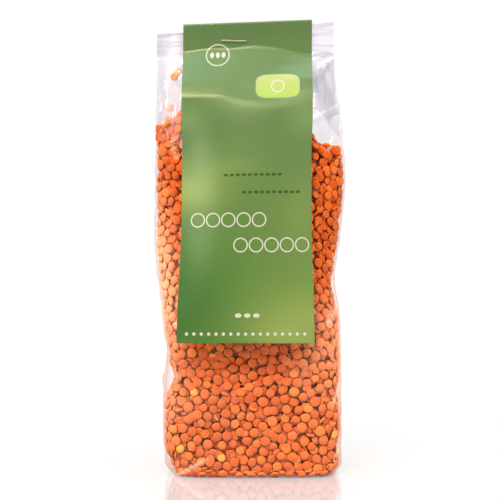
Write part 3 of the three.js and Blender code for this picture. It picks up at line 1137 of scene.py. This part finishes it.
def rings_in_row(u, v, start, pitch, count, height, radius, stroke):
    cu, cv, within = row(u, v, start, pitch, count, height)
    return abs(distance(cu, cv) - radius).inside(stroke / 2) * within


def seeds_in_row(u, v, start, pitch, count, height, wide, high):
    cu, cv, within = row(u, v, start, pitch, count, height)
    return distance(cu, cv, wide, high).inside(1.0, 0.2) * within


def any_of(marks):
    """1 where any of the marks is."""
    found = marks[0]
    for mark in marks[1:]:
        found = found.do("MAXIMUM", mark)
    return found


PLATE_AT, PLATE_HALF, PLATE_RIM = (14.8, 186.4), (10.6, 6.0), 0.35


def plate(u, v, grow=0.0):
    """A field with well rounded corners."""
    (across, height), (wide, high) = PLATE_AT, PLATE_HALF
    return (((u - across) / (wide + grow)) ** 4 + ((v - height) / (high + grow)) ** 4).inside(1.0, 0.08)


# %% Colours and places of the print
CARD_GREEN, CARD_CREAM = linear(74, 101, 56), linear(176, 180, 161)
CARD_PAINTED_LIGHT_SPOTS = (
    # place across, height, half width, half height, colour of the painted light spot there: lighter ones are
    # painted sheen, darker ones painted shade
    (0, 218, 60, 9, linear(64, 90, 52)),
    (-3, 169, 13, 8, linear(63, 92, 52)),
    (30, 170, 9, 9, linear(94, 121, 75)),
    (-30, 171, 9, 7, linear(91, 119, 75)),
    (0, 84, 70, 48, linear(72, 106, 44)),
    (32, 118, 20, 24, linear(86, 110, 54)),
    (-36, 84, 30, 31, linear(20, 76, 18)),
    (30, 74, 27, 17, linear(110, 128, 62)),
    (20, 69, 15, 8, linear(114, 132, 66)),
    (-10, 147, 17, 6, linear(87, 114, 60)),
    (27, 125, 8, 13, linear(92, 116, 57)),
    (-30, 136, 18, 10, linear(118, 138, 70)),
)
BADGE_AT, BADGE_RADIUS = (-14.6, 203.6), 5.6
CREAM_RINGS = (
    # edge of the first cell, pitch, count, height, radius, stroke
    (-27.2, 7.4, 5, 121.6, 3.2, 0.6),
    (-6.4, 7.4, 5, 109.6, 3.2, 0.6),
)
CREAM_SEEDS = (
    # edge of the first cell, pitch, count, height, half width and half height of a seed
    (-18.8, 2.8, 3, 203.6, 0.95, 1.5),
    (-5.6, 4.2, 3, 77.0, 1.5, 1.0),
    (-28.9, 3.4, 17, 68.6, 0.75, 0.75),
)
DARK_SEEDS = (
    (-11.5, 2.9, 10, 143.0, 1.1, 0.7),
    (-2.6, 2.9, 10, 134.6, 1.1, 0.7),
)

# %% Printed card


def green_with_painted_light(tree, u, v, front, grain):
    """The green ground with soft spots of painted sheen and painted shade, and a fine grain."""
    green = CARD_GREEN
    # Spots of painted sheen and painted shade, on the front only.
    for across, height, wide, high, shade in CARD_PAINTED_LIGHT_SPOTS:
        near = (distance(u - across, v - height, wide, high) ** 2 * -1.0).do("EXPONENT") * front
        green = mix(tree, near.socket, green, shade)
    return mix(tree, grain, green, mix(tree, 0.16, green, linear(150, 180, 110)))


def printed_marks(tree, u, v):
    """Each mark and its colour, from the lowest layer of ink to the highest."""
    field_height = ((v - 180.0) / 13.0).socket
    lime = ramp(tree, field_height, (0.0, linear(140, 171, 68)), (1.0, linear(160, 172, 106)))
    badge = abs(distance(u - BADGE_AT[0], v - BADGE_AT[1]) - BADGE_RADIUS).inside(0.28)
    bead = abs(distance(u - PLATE_AT[0], v - PLATE_AT[1]) - 3.0).inside(0.3)
    rings = [rings_in_row(u, v, *place) for place in CREAM_RINGS]
    seeds = [seeds_in_row(u, v, *place) for place in CREAM_SEEDS]
    return (
        (plate(u, v, PLATE_RIM), linear(84, 132, 110)),
        (plate(u, v), lime),
        (bead, linear(181, 182, 172)),
        (any_of([seeds_in_row(u, v, *place) for place in DARK_SEEDS]), linear(58, 72, 34)),
        (any_of([badge, *rings, *seeds]), CARD_CREAM),
    )


def printed_card():
    material, tree, shader = new_material("printed_card")
    place = add_node(tree, "ShaderNodeAttribute", attribute_name="flat").outputs["Vector"]
    parts = add_node(tree, "ShaderNodeSeparateXYZ", {0: place}).outputs
    u, v, side = (Wire(tree, s) for s in parts)
    front = side.inside(0.0, 1.6)
    grain = noise(tree, 2600.0, 2.0)
    colour = green_with_painted_light(tree, u, v, front, grain)
    for mark, ink in printed_marks(tree, u, v):
        colour = mix(tree, (mark * front).socket, colour, ink)
    cut = (abs(u) * -1.0).inside(-CARD_WIDTH / 2 + 0.1, 0.06)
    nicks = rising(tree, noise(tree, 700.0, 3.0), 0.6, 0.66)
    edge = mix(tree, nicks, linear(62, 100, 74), linear(200, 206, 186))
    colour = mix(tree, cut.socket, colour, edge)
    lacquer = {"Roughness": 0.17, "Specular IOR Level": 0.45, "Specular Tint": (0.64, 0.95, 0.78, 1)}
    feed(tree, shader, {"Base Color": colour, **lacquer})
    bumped(tree, shader, grain, 0.5, 0.0001)
    return material


card.data.materials.append(printed_card())

# %% [markdown]
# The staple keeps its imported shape, which is already a real bent wire, and only gets a finish: drawn wire is
# bright and a little uneven.

# %% Staple wire


def staple_wire():
    material, tree, shader = new_material("staple_wire")
    streaks = noise(tree, 1500.0, 3.0)
    colour = mix(tree, streaks, linear(176, 164, 150), linear(226, 216, 202))
    feed(tree, shader, {"Base Color": colour, "Metallic": 0.85, "Roughness": 0.34})
    bumped(tree, shader, streaks, 0.3, 0.0001)
    return material


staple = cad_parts["staple"]
staple.data.materials.clear()
staple.data.materials.append(staple_wire())

# %% [markdown]
# The bag stands on a glossy white floor in a white room. A large lamp hangs overhead, a strong one stands at
# the left and a weaker one at the right, with a small low one for the right edge. Three narrow warm ones in
# front are there for the card: the pale lines along its bends and part of its sheen are their reflections, and
# the rest of its sheen is painted into its green. The room is white behind the bag and darker behind the
# viewer, because clear film only shows against what it reflects.

# %% Floor
FLOOR_HALF, FLOOR_BELOW = 3000, 0.1
CORNERS = ((-1, -1), (1, -1), (1, 1), (-1, 1))
floor_points = [(x * FLOOR_HALF, y * FLOOR_HALF, -FLOOR_BELOW) for x, y in CORNERS]
floor = add_mesh("floor", floor_points, [(0, 1, 2, 3)])
floor_white, floor_tree, floor_shader = new_material("white_floor")
FLOOR_LOOK = {
    "Base Color": (0.3, 0.3, 0.3, 1),
    "Roughness": 0.003,
    "Emission Color": (1, 1, 1, 1),
    "Emission Strength": 0.37,
    "Coat Weight": 0.3,
    "Coat Roughness": 0.003,
}
feed(floor_tree, floor_shader, FLOOR_LOOK)
floor.data.materials.append(floor_white)

# %% Room and lamps


def studio_room():
    world = bpy.data.worlds.new("studio_room")
    bpy.context.scene.world = world
    world.use_nodes = True
    tree = world.node_tree
    way = add_node(tree, "ShaderNodeTexCoord").outputs["Generated"]
    forward = add_node(tree, "ShaderNodeSeparateXYZ", {0: way}).outputs["Y"]
    shade = ramp(tree, forward, (0.0, (0.22, 0.22, 0.23, 1)), (0.3, (1, 1, 1, 1)))
    feed(tree, tree.nodes["Background"], {"Color": shade, "Strength": 1.02})


def lamp(name, place, target, width, height, watts, mirrored=True, colour=(1, 1, 1)):
    light = bpy.data.lights.new(name, "AREA")
    light.color = colour
    light.shape = "RECTANGLE"
    light.size, light.size_y, light.energy = width * MM, height * MM, watts
    thing = in_scene(name, light)
    thing.location = Vector(place) * MM
    aim(thing, target)
    thing.visible_glossy = mirrored
    print(f"lamp {name}: {watts} W")


studio_room()
WARM, AMBER = (1.0, 0.72, 0.6), (1.0, 0.64, 0.45)
lamp("overhead", (0, -200, 950), (0, 0, 100), 700, 500, 4.7)
lamp("left_fill", (-800, -600, 400), (0, 0, 110), 800, 800, 9.5, mirrored=False)
lamp("right_fill", (850, -600, 350), (0, 0, 100), 600, 800, 5.1, mirrored=False)
lamp("card_sheen", (-540, -760, 500), (0, 0, 130), 280, 130, 0.9, colour=WARM)
lamp("strip", (-190, -650, 800), (0, 0, 190), 260, 50, 4.1, colour=AMBER)
lamp("strip_end", (40, -650, 800), (0, 0, 190), 110, 50, 0.75, colour=AMBER)
lamp("right_edge", (420, -90, 58), (36, -10, 58), 200, 200, 0.75, mirrored=False)
bpy.context.scene.view_settings.view_transform = "Standard"

# %% [markdown]
# Last, every piece is tied to the imported part: it rides on the one body, and the imported node that it
# stands in for is hidden. The staple is a imported node itself and needs none of that.

# %% Tying the pieces to the part
PIECES = (
    (film, "bag", "filled_film"),
    *((layer, "bag", "filled_film") for layer in lentil_layers),
    (lentil_heart, "bag", "filled_film"),
    (lentils_caught, "bag", "filled_film"),
    (card, "header_card", "green_card"),
)
for thing, node, finish in PIECES:
    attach(thing, "root")
    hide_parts(node)
